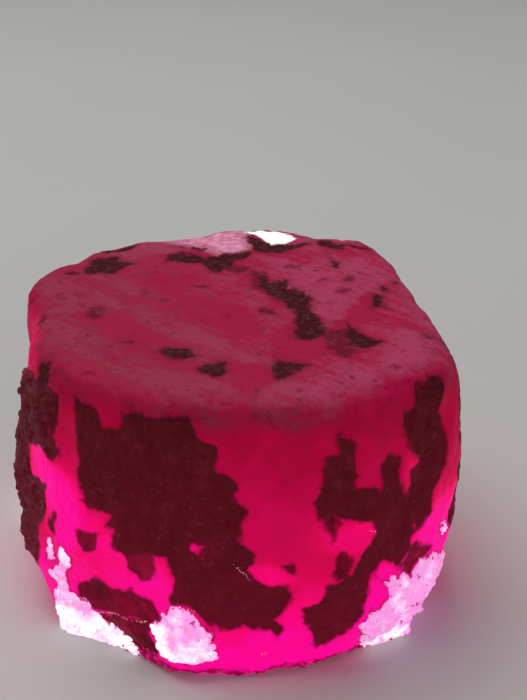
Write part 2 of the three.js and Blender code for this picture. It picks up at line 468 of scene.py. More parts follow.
def inside_distance(u, v, outline):
    """How far in from a closed outline each place lies, negative outside it."""
    nearest = np.full(len(u), np.inf)
    inside = np.zeros(len(u), bool)
    corners = np.array(outline, float)
    for (u0, v0), (u1, v1) in zip(corners, np.roll(corners, -1, axis=0)):
        du, dv = u1 - u0, v1 - v0
        share = np.clip(((u - u0) * du + (v - v0) * dv) / (du * du + dv * dv), 0, 1)
        nearest = np.minimum(nearest, np.hypot(u - u0 - share * du, v - v0 - share * dv))
        if dv:
            inside ^= ((v0 > v) != (v1 > v)) & (u < u0 + (v - v0) * du / dv)
    return np.where(inside, nearest, -nearest)


GIRTH = 15  # mean radius of the sides, for turning degrees round them into millimetres
FAR_OUTSIDE = -3.0
SIDES_END = 40  # side outlines hold up to this rise from the middle, in degrees
TOP_STARTS = 24  # and top outlines from this one
END_SLOPE = 0.25  # depth lost past those ends, mm for each degree
EDGE_WANDER = 0.34  # how far outlines stray, in mm
BACK_WANDER = 1.3  # and how much further round the back


class Skin:
    """Places on the crystal: where each is round the sides, how high, and how far up it faces."""

    def __init__(self, points):
        self.points = points
        from_middle = points - (0, 0, MIDDLE_HEIGHT)
        self.rise = np.degrees(np.arctan2(from_middle[:, 2], np.hypot(points[:, 0], points[:, 1])))
        self.azimuth = np.degrees(np.arctan2(points[:, 1], points[:, 0])) % 360
        self.height = points[:, 2]
        # 1 round the back of the sides, 0 in front and on top
        self.behind = ease(-3, 3, points[:, 1]) * ease(36, 30, self.rise)
        wander = []
        for seed in (11, 21, 31):
            fine = ragged(points, 1.5, seed, 3) * EDGE_WANDER
            wander.append(fine + ragged(points, 3.4, seed + 5, 3) * BACK_WANDER * self.behind)
        self.wandered = points + np.stack(wander, axis=1)
        self.wandered_azimuth = np.degrees(np.arctan2(self.wandered[:, 1], self.wandered[:, 0]))

    def around(self, azimuth):
        """How far round the sides each place is from this azimuth, in mm."""
        return np.radians((self.wandered_azimuth - azimuth + 180) % 360 - 180) * GIRTH

    def on_sides(self, outlines):
        """The deepest of these side outlines that each place is in, in mm."""
        deepest = np.full(len(self.points), FAR_OUTSIDE)
        for outline in outlines.values():
            corners = np.array(outline, float)
            middle = corners[:, 0].mean()
            corners[:, 0] = np.radians(corners[:, 0] - middle) * GIRTH
            depth = inside_distance(self.around(middle), self.wandered[:, 2], corners)
            deepest = np.maximum(deepest, depth)
        return np.minimum(deepest, (SIDES_END - self.rise) * END_SLOPE)

    def on_top(self, outlines):
        """The deepest of these top outlines that each place is in, in mm."""
        deepest = np.full(len(self.points), FAR_OUTSIDE)
        for outline in outlines.values():
            deepest = np.maximum(deepest, inside_distance(*self.wandered[:, :2].T, outline))
        return np.minimum(deepest, (self.rise - TOP_STARTS) * END_SLOPE)


# painted glow of the ruby by height above the foot: emission standing in for light that comes up through
# it from below
PAINTED_GLOW_HEIGHTS = [0, 3, 4.6, 7, 10.3, 12.5, 14.7, 17, 18.4]
PAINTED_GLOW_LEVELS = [1, 0.97, 0.87, 0.66, 0.53, 0.45, 0.37, 0.3, 0.23]

# azimuth, height, half width, half height, brightness of the painted glow in the clearer windows
PAINTED_GLOW_WINDOWS = {
    "left band": (228, 8.6, 2.1, 3.3, 1.0),
    "left slit": (216, 10.9, 1.6, 2.0, 0.97),
    "left join": (222, 10.4, 1.5, 1.5, 0.98),
    "left field": (239, 6.6, 4.6, 3.2, 0.88),
    "shield foot": (254, 5.2, 2.4, 2.2, 0.95),
    "lobe window": (265, 8.7, 0.9, 0.9, 0.9),
    "front pool": (278.5, 7.1, 1.5, 1.2, 0.84),
    "arm pool": (297, 9.7, 2.3, 1.3, 0.78),
    "right foot": (306, 4.4, 2.6, 3.4, 1.0),
    "right pool": (316, 8.3, 1.5, 1.3, 0.98),
    "right band": (323, 7.2, 3.2, 3.2, 1.0),
    "right gap": (311, 12.6, 0.8, 1.2, 0.7),
    "left lip": (196, 16.6, 4.5, 2.4, 0.55),
    "right side": (356, 5, 4.0, 4.4, 0.92),
    "back right": (38, 4.5, 3.4, 4.4, 0.9),
    "back": (122, 4, 3.4, 5.0, 0.92),
    "left back": (178, 5, 3.4, 4.0, 0.95),
}

# hair cracks with pale grains in them
SIDE_CRACKS = {
    "left seam": [(236.5, 2.3), (242, 2.8), (247, 2.8), (252, 3.3)],
    "shield scratch": [(272, 8), (275.5, 7)],
    "scratch over the front foot": [(260, 5), (263, 4.8)],
    "stem grain": [(299.8, 9.9), (300.6, 9.8)],
    "foot grain": [(277.5, 1.9), (278.5, 1.9)],
}


def painted_glow_field(skin):
    """How bright the painted glow of the ruby is at each place, from 0 to 1."""
    uneven = ragged(skin.points, 3.5, 401, 3)
    glow = np.interp(skin.height + uneven * 1.2, PAINTED_GLOW_HEIGHTS, PAINTED_GLOW_LEVELS)
    for azimuth, height, half_width, half_height, level in PAINTED_GLOW_WINDOWS.values():
        across = skin.around(azimuth) / half_width
        up = (skin.wandered[:, 2] - height) / half_height
        share = np.exp(-((across**2 + up**2) ** 2.0)) * np.clip(1 + uneven * 0.2, 0, 1)
        glow = np.maximum(glow, glow + (level - glow) * share)
    return glow


RUBBLE_AZIMUTH = 251  # ruby rubble lies between the left and the front foot crust


def growths(skin):
    """What grows on each place of the crystal: depths into the outlines in mm, and shares from 0 to 1."""
    uneven = ragged(skin.points, 2.5, 501, 3)
    slope = ease(-0.3, 0.6, skin.on_top(TOP_SLOPE))
    milk = 0.34 + 0.6 * ease(-1.2, 1.0, skin.on_top(TOP_MILK))
    stain = np.maximum(skin.on_sides(SIDE_STAIN), skin.on_top(TOP_STAIN))
    blotches = ragged(skin.points, 2.2, 521, 3) * 1.3 - 0.75 - 3 * (1 - skin.behind)
    rubble = 0.9 * np.exp(-((skin.around(RUBBLE_AZIMUTH) / 1.3) ** 2))
    return {
        "mica": np.maximum(skin.on_sides(SIDE_MICA), skin.on_top(TOP_MICA)),
        "stain": np.maximum(stain, blotches),
        "crust": skin.on_sides(SIDE_CRUST),
        # the painted white highlight on the back rim
        "chip": skin.on_top(TOP_PAINTED_HIGHLIGHT),
        "white": ease(-0.35, 0.35, skin.on_sides(SIDE_WHITE_AND_GLARE)),
        # paler stone with painted light through the back rim beside the highlight, fading out to the left
        "window": ease(-0.5, 0.4, skin.on_top(TOP_LIT_WINDOW)) * ease(-9, 0.5, skin.points[:, 0]),
        "milk": milk - 0.85 * ease(-0.6, 0.5, skin.on_top(TOP_POOLS)),
        # the dull coat that makes the whole top paler than the sides
        "bloom": ease(16.1, 17.75, skin.height + uneven * 0.5) * (1 - 0.85 * slope),
        # the strength of the painted glow, standing in for light from below
        "glow": painted_glow_field(skin),
        # broken ruby along the foot, but not under it
        "foot": ease(0.55, 0.25, skin.height + ragged(skin.points, 0.9, 511, 3) * 0.3 - rubble)
        * (skin.height > 0.01),
    }


STREAK_AZIMUTH = 317  # the top parts along this direction
STREAKS = np.stack([outward(STREAK_AZIMUTH, 0), outward(STREAK_AZIMUTH + 90, 0), outward(0, 90)])


def relief(skin, grown):
    """How far the skin stands out from the plain block at each place, in mm."""
    points = skin.points
    on_top = ease(30, 42, skin.rise)
    # worn, pitted ruby
    out = ragged(points, 2.6, 611, 4) * 0.08
    pit_edge, pit_level = plates(points, 1.1, 621)
    out -= ease(0.25, 0, pit_edge) * ease(0.5, 0.9, pit_level) * 0.06
    # the top parts in long low laths
    streaked = points @ STREAKS.T * (0.24, 1, 0.5)
    lath_edge, lath_level = plates(streaked + ragged(points, 3, 601, 2)[:, None] * 0.25, 1.5, 605)
    out += on_top * (lath_level - 0.5) * ease(0, 0.3, lath_edge) * 0.2
    out += on_top * ragged(streaked, 0.9, 607, 3) * 0.07
    # nibbled shoulders
    shoulder = np.exp(-(((skin.rise - 33) / 5) ** 2))
    out -= shoulder * ease(-0.1, 0.7, ragged(points, 1.3, 631, 2)) * 0.16
    # mica lies in shallow sockets, in plates one on another
    plate_edge, plate_level = plates(points * (1, 1, 1.6), 0.9, 641)
    flaky = plate_level * 0.11 - ease(0.12, 0, plate_edge) * 0.04
    scaly = ragged(points, 0.8, 643, 3) * 0.05 + 0.03
    out += ease(0, 0.12, grown["mica"]) * (flaky + (scaly - flaky) * on_top - 0.1)
    out += ease(0, 0.2, grown["stain"]) * (ragged(points, 0.5, 651, 2) * 0.03 - 0.05)
    # the left crust stands out in ragged layers
    left_side = np.exp(-(((skin.azimuth - 203) / 20) ** 2)) * ease(40, 30, skin.rise)
    leaf_edge, leaf_level = plates(points * (1, 1, 2.0), 1.0, 661)
    leaves = leaf_level * 0.32 - ease(0.15, 0, leaf_edge) * 0.1
    leaves += 0.3 * np.exp(-(((skin.height - 14.5) / 1.6) ** 2))
    out += ease(0, 0.3, grown["mica"]) * left_side * leaves
    # crusted feet: low knobs of pale crystal
    knob_edge, knob_level = plates(points, 1.3, 671)
    knobs = 0.1 + knob_level * 0.16 + ease(0, 0.4, knob_edge) * 0.1 + ragged(points, 0.6, 673, 2) * 0.06
    out += ease(-0.05, 0.3, grown["crust"]) * knobs
    # the pebbly rim of the foot
    rim = ease(1.4, 0.4, skin.height)
    pebble_edge, pebble_level = plates(points, 0.55, 681)
    return out + rim * (ease(0, 0.2, pebble_edge) * 0.12 + pebble_level * 0.1 - 0.12)


NET_CELL = 0.186  # side of the fine squares of the skin
NET_FRAME = 8  # squares kept round the underside
HALF_BOX = np.array([15.0, 15.4, 9.4])  # half the box that the net is first laid on


def put(name, data):
    """A new object in the scene with this data, at the origin, unturned."""
    made = bpy.data.objects.new(name, data)
    bpy.context.scene.collection.objects.link(made)
    return made


def crystal_skin():
    """The fine mesh of the whole crystal, with what grows on it as attributes."""
    cells = np.round(2 * HALF_BOX / NET_CELL).astype(int)
    corners, squares, opening = box_net(cells, NET_FRAME)
    directions = corners * HALF_BOX
    directions /= np.linalg.norm(directions, axis=1, keepdims=True)
    plain = block_skin(directions)
    plain[:, :2] -= (plain[:, :2].max(0) + plain[:, :2].min(0)) / 2
    skin = Skin(plain)
    grown = growths(skin)
    shaped = plain + directions * relief(skin, grown)[:, None]
    shaped[:, 2] = np.maximum(shaped[:, 2], 0)
    shaped[opening, 2] = 0

    mesh = bpy.data.meshes.new("ruby_crystal_skin")
    mesh.from_pydata((shaped * MM).tolist(), [], squares.tolist() + [opening.tolist()])
    mesh.shade_smooth()
    for name, values in grown.items():
        layer = mesh.attributes.new(name, "FLOAT", "POINT")
        layer.data.foreach_set("value", values.astype(np.float32))
    return put("ruby_crystal_skin", mesh)


# ---- node trees ------------------------------------------------------------------------------


class Signal:
    """One output of a node tree. Plain arithmetic on it adds the Math nodes."""

    def __init__(self, nodes, socket):
        self.nodes = nodes
        self.socket = socket

    def math(self, operation, *values):
        return self.nodes.add("ShaderNodeMath", {"operation": operation}, dict(enumerate(values)))

    def __add__(self, other):
        return self.math("ADD", self, other)

    def __radd__(self, other):
        return self.math("ADD", other, self)

    def __sub__(self, other):
        return self.math("SUBTRACT", self, other)

    def __rsub__(self, other):
        return self.math("SUBTRACT", other, self)

    def __mul__(self, other):
        return self.math("MULTIPLY", self, other)

    def __rmul__(self, other):
        return self.math("MULTIPLY", other, self)

    def most(self, other):
        return self.math("MAXIMUM", self, other)

    def absolute(self):
        return self.math("ABSOLUTE", self)

    def rise(self, low, high):
        """0 at low, 1 at high, smooth between and level beyond."""
        sockets = {"Value": self, "From Min": low, "From Max": high}
        return self.nodes.add("ShaderNodeMapRange", {"interpolation_type": "SMOOTHSTEP"}, sockets)


class Nodes:
    """A node tree being built. add() makes any node; the rest are the few used over and over."""

    def __init__(self, tree):
        self.tree = tree

    def add(self, kind, settings=None, sockets=None, output=0):
        node = self.tree.nodes.new(kind)
        for name, value in (settings or {}).items():
            if name == "stops":
                ramp = node.color_ramp.elements
                for _ in value[2:]:
                    ramp.new(0.5)
                for element, (place, colour) in zip(ramp, value):
                    element.position = place
                    element.color = (*colour, 1)
            else:
                setattr(node, name, value)
        for key, value in (sockets or {}).items():
            if isinstance(value, Signal):
                self.tree.links.new(value.socket, node.inputs[key])
            else:
                node.inputs[key].default_value = value
        return Signal(self, node.outputs[output])

    def ramp(self, value, stops):
        return self.add("ShaderNodeValToRGB", {"stops": stops}, {"Fac": value})

    def mix(self, share, first, second):
        """Blends two colours; a plain colour is three numbers."""
        colours = [c if isinstance(c, Signal) else (*c, 1) for c in (first, second)]
        sockets = {0: share, 6: colours[0], 7: colours[1]}
        return self.add("ShaderNodeMix", {"data_type": "RGBA"}, sockets, output=2)

    def mix_values(self, share, first, second):
        return self.add("ShaderNodeMix", {"data_type": "FLOAT"}, {0: share, 2: first, 3: second})

    def noise(self, place, size, detail=2.0, roughness=0.5, distortion=0.0):
        """Noise from 0 to 1 with humps about one size apart, in the units of the place."""
        sockets = {"Vector": place, "Scale": 1 / size, "Detail": detail, "Roughness": roughness}
        sockets["Distortion"] = distortion
        return self.add("ShaderNodeTexNoise", {}, sockets)

    def along(self, place, axis):
        return self.add("ShaderNodeSeparateXYZ", {}, {"Vector": place}, output=axis)

    def attribute(self, name):
        return self.add("ShaderNodeAttribute", {"attribute_name": name}, output="Fac")

    def vector(self, x, y, z):
        return self.add("ShaderNodeCombineXYZ", {}, {"X": x, "Y": y, "Z": z})

    def stretched(self, vector, factors):
        """A vector with each of its numbers multiplied by its own factor."""
        return self.add("ShaderNodeVectorMath", {"operation": "MULTIPLY"}, {0: vector, 1: factors})

    def scaled(self, vector, factor):
        return self.add("ShaderNodeVectorMath", {"operation": "SCALE"}, {0: vector, "Scale": factor})

    def bump(self, height, strength, depth):
        sockets = {"Height": height, "Strength": strength, "Distance": depth * MM}
        return self.add("ShaderNodeBump", {}, sockets)

    def surface(self, sockets):
        """A surface; where it has an emission colour, that shines at its full strength."""
        if "Emission Color" in sockets:
            sockets = {**sockets, "Emission Strength": 1.0}
        return self.add("ShaderNodeBsdfPrincipled", {}, sockets)

    def mix_surfaces(self, share, first, second):
        return self.add("ShaderNodeMixShader", {}, {0: share, 1: first, 2: second})


def finish(name, look):
    """A material. Its look makes the surface, from the nodes and the place on the piece in mm."""
    made = bpy.data.materials.new(name)
    made.use_nodes = True
    made.node_tree.nodes.clear()
    n = Nodes(made.node_tree)
    metres = n.add("ShaderNodeTexCoord", output="Object")
    surface = look(n, n.scaled(metres, 1 / MM))
    output = n.tree.nodes.new("ShaderNodeOutputMaterial")
    n.tree.links.new(surface.socket, output.inputs["Surface"])
    return made


# ---- finishes --------------------------------------------------------------------------------

CORUNDUM_IOR = 1.77
MICA_IOR = 1.58
FELDSPAR_IOR = 1.53
NO_LIGHT = (0, 0, 0)

# painted glow: emission standing in for light that comes through the ruby, by the strength of the glow
# field
RUBY_PAINTED_GLOW = [
    (0.0, (0.0, 0.0, 0.0)),
    (0.25, (0.165, 0.0003, 0.014)),
    (0.34, (0.262, 0.0003, 0.019)),
    (0.44, (0.365, 0.0003, 0.038)),
    (0.53, (0.455, 0.0003, 0.054)),
    (0.67, (0.59, 0.0005, 0.064)),
    (0.86, (0.83, 0.0006, 0.15)),
    (1.0, (0.9, 0.001, 0.29)),
]

# the top from clear ruby to milky, its body and its painted glow
TOP_BODY = [(0, (0.22, 0.005, 0.036)), (0.5, (0.29, 0.018, 0.053)), (1, (0.37, 0.04, 0.088))]
TOP_PAINTED_GLOW = [(0, (0.135, 0.001, 0.015)), (0.5, (0.045, 0.0006, 0.006)), (1, (0.02, 0.0003, 0.003))]

# mica from its darkest sheets to its palest: on the sides, on the top with painted grey glints as its
# palest, and in loose flakes
SIDE_BROWNS = [(0.3, (0.08, 0.006, 0.008)), (0.55, (0.115, 0.009, 0.013)), (0.78, (0.17, 0.022, 0.03))]
TOP_BROWNS_AND_GLINTS = [(0.35, (0.045, 0.003, 0.006)), (0.55, (0.06, 0.007, 0.011)), (0.72, (0.12, 0.04, 0.05))]
FLAKE_BROWNS = [(0.3, (0.065, 0.006, 0.008)), (0.6, (0.105, 0.009, 0.013)), (0.74, (0.16, 0.03, 0.04))]


def ruby_surface(n, place, fine, broad, stained):
    """Red corundum: clear, with a painted glow strongest low down, milky with clear pools on top."""
    bloom = n.attribute("bloom")
    window = n.attribute("window")
    clouds = n.noise(place, 1.5, detail=4, roughness=0.6) - 0.5
    glow = n.attribute("glow") + broad * 0.14 + clouds * 0.14 + fine * 0.05

    turn = (0, 0, math.radians(-STREAK_AZIMUTH))
    turned = n.add("ShaderNodeMapping", {}, {"Vector": place, "Rotation": turn})
    drawn = n.stretched(turned, (0.14, 1.0, 1.2))
    streaks = n.noise(drawn, 1.1, detail=4, roughness=0.6, distortion=0.5) - 0.5
    threads = n.noise(drawn, 0.35, detail=3, roughness=0.6, distortion=0.6) - 0.5
    crumbs = n.noise(place, 0.22, detail=3, roughness=0.7) - 0.5
    mottle = threads * 0.7 + fine * 1.3 + crumbs * 0.5
    milk = (n.attribute("milk") + streaks * 2.6 + mottle + clouds * 1.2).rise(0.05, 1.15)
    scales = (streaks * 1.2 + mottle * 0.6 + clouds + broad * 0.6).rise(0.12, 0.5) * 0.9

    side_body = (0.2, 0.001, 0.03)
    top_body = n.ramp(milk, TOP_BODY)
    paler = (n.along(place, "X") * 0.09 + n.along(place, "Y") * 0.03).rise(-1.0, 0.5)
    top_body = n.mix(milk * paler * 0.9, top_body, (0.41, 0.045, 0.118))
    top_body = n.mix((1.0 - paler) * 0.3, top_body, (0.19, 0.012, 0.034))
    top_body = n.mix(scales, top_body, (0.15, 0.002, 0.018))
    # paler colour and painted light through the back rim beside the highlight
    pale = window * (0.62 + (streaks + fine) * 1.6)
    top_body = n.mix(pale, top_body, (0.74, 0.34, 0.48))
    colour = n.mix(bloom, side_body, top_body)
    patchy = (fine * 0.6 + broad + 0.5).rise(0.25, 0.75)
    stain_body = n.mix(patchy, (0.07, 0.002, 0.008), (0.12, 0.004, 0.015))
    # painted glints: paler flecks in the stains of the top
    painted_glints = n.noise(place, 0.5, detail=3, roughness=0.6).rise(0.52, 0.72)
    top_stain = n.mix(painted_glints, (0.085, 0.002, 0.01), (0.2, 0.02, 0.045))
    colour = n.mix(stained * 0.9, colour, n.mix(bloom, stain_body, top_stain))
    specks = n.noise(place, 0.8, detail=2, roughness=0.6).rise(0.66, 0.76)
    colour = n.mix(specks * bloom * 0.7, colour, (0.1, 0.003, 0.014))

    # painted glow: emission standing in for light from below, through the sides and the clear pools of the
    # top, dimmer under stains
    top_painted_glow = n.ramp(milk, TOP_PAINTED_GLOW)
    top_painted_glow = n.mix(scales, top_painted_glow, (0.06, 0.0002, 0.008))
    top_painted_glow = n.mix(pale, top_painted_glow, (0.2, 0.07, 0.12))
    light = n.mix(bloom, n.ramp(glow, RUBY_PAINTED_GLOW), top_painted_glow)
    stain_painted_glow = n.mix(patchy, (0.06, 0.0005, 0.006), (0.2, 0.001, 0.024))
    dim_painted_glow = n.mix(bloom, n.mix(glow, NO_LIGHT, stain_painted_glow), (0.05, 0.0003, 0.006))
    light = n.mix(stained, light, dim_painted_glow)

    grain = n.noise(place, 0.25, detail=4, roughness=0.6)
    height = grain * 0.4 + (threads * 0.6 + streaks + fine) * bloom * 0.7
    return n.surface(
        {
            "Base Color": colour,
            "Roughness": 0.4 + n.noise(place, 0.6, detail=3) * 0.25,
            "IOR": CORUNDUM_IOR,
            "Specular IOR Level": 0.03,
            "Subsurface Weight": 0.2,
            "Subsurface Radius": (1.0, 0.08, 0.25),
            "Subsurface Scale": 1.2 * MM,
            "Emission Color": light,
            "Normal": n.bump(height, 0.35, 0.1),
        }
    )


def painted_mica_glow(n):
    """A little painted red glow on the mica of the sides, standing in for light from below."""
    glow = n.attribute("glow") * (1 - n.attribute("bloom"))
    return n.mix(glow, (0.006, 0.0002, 0.0008), (0.075, 0.0012, 0.01))


def mica_surface(n, place):
    """Dark red-brown mica, in flaky sheets."""
    bloom = n.attribute("bloom")
    cloud = n.noise(place, 1.2, detail=4, roughness=0.6)
    colour = n.ramp(cloud, SIDE_BROWNS)
    scuffs = n.noise(place, 0.3, detail=3, roughness=0.65)
    colour = n.mix(scuffs.rise(0.62, 0.8) * 0.5, colour, (0.24, 0.07, 0.09))
    # painted grey sheen on the high left mica crust, standing in for light reflected from it
    painted_sheen = n.along(place, "X").rise(-9.5, -12.0) * (cloud * 0.6 + scuffs * 0.4).rise(0.35, 0.65)
    colour = n.mix(painted_sheen * 0.75, colour, (0.16, 0.055, 0.075))
    # the mica of the top, its palest browns painted grey glints
    colour = n.mix(bloom, colour, n.ramp(scuffs * 0.5 + cloud * 0.5, TOP_BROWNS_AND_GLINTS))
    sheets = n.add("ShaderNodeTexVoronoi", {}, {"Vector": place, "Scale": 1.6}, output="Color")
    return n.surface(
        {
            "Base Color": colour,
            "Roughness": 0.5 + scuffs * 0.2,
            "IOR": MICA_IOR,
            "Specular IOR Level": 0.03,
            "Emission Color": painted_mica_glow(n),
            "Normal": n.bump(sheets * 0.4 + scuffs * 0.6, 0.3, 0.08),
        }
    )


def crust_tones(n, place):
    """Colours of the pale crust and of its painted glow: lilac, nearly white low down with painted glare,
    with ruby specks.
    """
    cloud = n.noise(place, 1.3, detail=3, roughness=0.55) - 0.5
    white = n.attribute("white")
    rosier = n.along(place, "X").rise(4.0, 9.0) * 0.2
    # whiter low down: partly the crust's own pale colour, partly painted white glare in its glow
    whiteness_and_glare = (white * 0.75 + cloud * 2.6 + 0.23 - rosier).rise(0.0, 0.9)
    # painted shade along the creases between the lumps, darkening the colour and the glow
    painted_crease_shade = (n.noise(place, 1.2, detail=2) - 0.5).absolute().rise(0.04, 0.0) * 0.3
    specks = (n.noise(place, 0.5, detail=2) - white * 0.06).rise(0.66, 0.7) * 0.85
    colour = n.mix(whiteness_and_glare, (0.84, 0.54, 0.78), (0.95, 0.92, 0.95))
    colour = n.mix(painted_crease_shade, colour, (0.7, 0.25, 0.5))
    colour = n.mix(specks, colour, (0.3, 0.02, 0.13))
    # painted glow of the crust, standing in for light from below
    light = n.mix(whiteness_and_glare, (0.56, 0.14, 0.43), (0.68, 0.6, 0.67))
    light = n.mix(painted_crease_shade, light, (0.6, 0.06, 0.34))
    light = n.mix(specks, light, (0.3, 0.008, 0.13))
    return colour, light


def crust_surface(n, place):
    """Sugary pale feldspar, with a painted glow."""
    colour, light = crust_tones(n, place)
    sugar = n.noise(place, 0.22, detail=4, roughness=0.65)
    # on the top the crust finish is only the painted white highlight: near-white colour with a painted
    # white glow
    on_top = n.attribute("bloom")
    colour = n.mix(on_top, colour, (0.9, 0.88, 0.88))
    light = n.mix(on_top, light, n.mix(sugar, (0.18, 0.13, 0.15), (0.5, 0.47, 0.46)))
    return n.surface(
        {
            "Base Color": colour,
            "Roughness": 0.65 + sugar * 0.2,
            "IOR": FELDSPAR_IOR,
            "Specular IOR Level": 0.15,
            "Subsurface Weight": 0.3,
            "Subsurface Radius": (1.0, 0.5, 0.8),
            "Subsurface Scale": 0.6 * MM,
            "Emission Color": light,
            "Normal": n.bump(sugar * (1.0 - on_top), 0.5, 0.12),
        }
    )


def crystal_look(n, place):
    """The whole skin: ruby, with mica and crust laid over it where they grow."""
    fine = n.noise(place, 0.5, detail=3) - 0.5
    finer = n.noise(place, 0.14, detail=2) - 0.5
    broad = n.noise(place, 3.0, detail=3) - 0.5
    bloom = n.attribute("bloom")
    fray = fine * 0.5 + finer * 0.14 + (fine * 0.3 + finer * 0.4) * bloom
    mica_depth = n.attribute("mica") + fray
    feathered = mica_depth.rise(-0.25, 0.14)
    halo = (n.attribute("mica") + fray * 1.6).rise(-0.7, 0.3) * bloom * 0.6
    stain = (n.attribute("stain") + fray).rise(-0.2, 0.12)
    stain = n.mix_values(bloom, stain, (n.attribute("stain") + fray * 1.4).rise(-0.4, 0.25))
    crust_depth = n.attribute("crust") + fray * 1.6 + broad * 0.5
    fringe = crust_depth.rise(-0.3, -0.05) * 0.5
    stained = feathered.most(stain).most(halo).most(n.attribute("foot") * 0.85).most(fringe)
    ruby = ruby_surface(n, place, fine, broad, stained)
    mica = mica_surface(n, place)
    crust = crust_surface(n, place)
    mica_share = n.mix_values(bloom, mica_depth.rise(-0.04, 0.14), mica_depth.rise(-0.14, 0.26))
    surface = n.mix_surfaces(mica_share, ruby, mica)
    crust_share = crust_depth.rise(-0.06, 0.1)
    # the painted white highlight takes the crust finish
    highlight_share = (n.attribute("chip") + fray * 0.5).rise(-0.22, 0.16)
    return n.mix_surfaces(crust_share.most(highlight_share), surface, crust)


# ---- small pieces that lie on the skin -------------------------------------------------------


def geometry_tree(name, inputs):
    """The nodes of a new geometry tree with these named inputs, and its inputs by name."""
    tree = bpy.data.node_groups.new(name, "GeometryNodeTree")
    tree.interface.new_socket("Geometry", in_out="INPUT", socket_type="NodeSocketGeometry")
    tree.interface.new_socket("Geometry", in_out="OUTPUT", socket_type="NodeSocketGeometry")
    for label, kind in inputs.items():
        tree.interface.new_socket(label, in_out="INPUT", socket_type=kind)
    nodes = Nodes(tree)
    group = tree.nodes.new("NodeGroupInput")
    return nodes, {label: Signal(nodes, group.outputs[label]) for label in ["Geometry", *inputs]}


def random_vector(n, least, most, seed):
    """Another vector for each point, with its numbers between these two's."""
    sockets = {0: least, 1: most, "Seed": seed}
    return n.add("FunctionNodeRandomValue", {"data_type": "FLOAT_VECTOR"}, sockets)


def random_size(n, given, seed):
    """Another size for each point, between the tree's smallest and largest."""
    sockets = {2: given["Smallest"], 3: given["Largest"], "Seed": seed}
    return n.add("FunctionNodeRandomValue", {"data_type": "FLOAT"}, sockets, output=1)


def grains_on(n, given, sockets):
    """Ends a tree: a grain on each point, all made into real mesh in the given finish."""
    placed = n.add("GeometryNodeInstanceOnPoints", {}, sockets)
    whole = n.add("GeometryNodeRealizeInstances", {}, {0: placed})
    finished = n.add("GeometryNodeSetMaterial", {}, {"Geometry": whole, "Material": given["Finish"]})
    out = n.tree.nodes.new("NodeGroupOutput")
    n.tree.links.new(finished.socket, out.inputs["Geometry"])
    return n.tree


def grow(name, base, tree, values, smooth=True):
    """Runs the tree on the base mesh and keeps what it makes as a plain mesh."""
    carrier = put(name + "_carrier", base)
    modifier = carrier.modifiers.new("grow", "NODES")
    modifier.node_group = tree
    for item in tree.interface.items_tree:
        if item.in_out == "INPUT" and item.name in values:
            modifier[item.identifier] = values[item.name]
    evaluated = carrier.evaluated_get(bpy.context.evaluated_depsgraph_get())
    mesh = bpy.data.meshes.new_from_object(evaluated)
    mesh.name = name
    bpy.data.objects.remove(carrier)
    if smooth:
        mesh.shade_smooth()
    else:
        mesh.shade_flat()
    return put(name, mesh)


SCATTER_INPUTS = {
    "Field": "NodeSocketString",
    "From": "NodeSocketFloat",
    "Density": "NodeSocketFloat",
    "Smallest": "NodeSocketFloat",
    "Largest": "NodeSocketFloat",
    "Flatness": "NodeSocketFloat",
    "Tilt": "NodeSocketFloat",
    "Seed": "NodeSocketInt",
    "Finish": "NodeSocketMaterial",
}


FULL_TURN = 6.3  # a little more than once round, in radians


def scatter_tree(name, make_grain):
    """Strews grains over the places where a field of the skin is above a value."""
    n, given = geometry_tree(name, SCATTER_INPUTS)
    seed = given["Seed"]
    field = n.add("GeometryNodeInputNamedAttribute", {"data_type": "FLOAT"}, {"Name": given["Field"]})
    here = n.add("FunctionNodeCompare", {"operation": "GREATER_THAN"}, {0: field, 1: given["From"]})
    sockets = {"Mesh": given["Geometry"], "Selection": here, "Density": given["Density"], "Seed": seed}
    strewn = n.add("GeometryNodeDistributePointsOnFaces", {}, sockets)
    facing = Signal(n, strewn.socket.node.outputs["Rotation"])
    lean = random_vector(n, (-1, -1, -FULL_TURN), (1, 1, FULL_TURN), seed + 1)
    lean = n.stretched(lean, n.vector(given["Tilt"], given["Tilt"], 1))
    lean = n.add("FunctionNodeEulerToRotation", {}, {0: lean})
    turn = n.add("FunctionNodeRotateRotation", {"rotation_space": "LOCAL"}, {0: facing, 1: lean})
    shape = random_vector(n, (0.7, 0.7, 0.8), (1.3, 1.3, 1.1), seed + 2)
    shape = n.stretched(shape, n.vector(1, 1, given["Flatness"]))
    shape = n.scaled(shape, random_size(n, given, seed))
    sockets = {"Points": strewn, "Instance": make_grain(n), "Rotation": turn, "Scale": shape}
    return grains_on(n, given, sockets)


BEAD_INPUTS = {
    "Spacing": "NodeSocketFloat",
    "Smallest": "NodeSocketFloat",
    "Largest": "NodeSocketFloat",
    "Straying": "NodeSocketFloat",
    "Seed": "NodeSocketInt",
    "Finish": "NodeSocketMaterial",
}


def bead_tree(name, make_grain):
    """Strings small grains along the lines of a mesh."""
    n, given = geometry_tree(name, BEAD_INPUTS)
    seed = given["Seed"]
    line = n.add("GeometryNodeMeshToCurve", {}, {"Mesh": given["Geometry"]})
    sockets = {"Curve": line, "Length": given["Spacing"]}
    line = n.add("GeometryNodeResampleCurve", {"mode": "LENGTH"}, sockets)
    stray = n.scaled(random_vector(n, (-1, -1, -1), (1, 1, 1), seed), given["Straying"])
    line = n.add("GeometryNodeSetPosition", {}, {"Geometry": line, "Offset": stray})
    sockets = {"Points": line, "Instance": make_grain(n), "Scale": random_size(n, given, seed + 1)}
    return grains_on(n, given, sockets)


OUTSIDE = 30  # clear of the crystal on every side
STEPS_A_STRETCH = 4  # in which a crack is laid on the skin


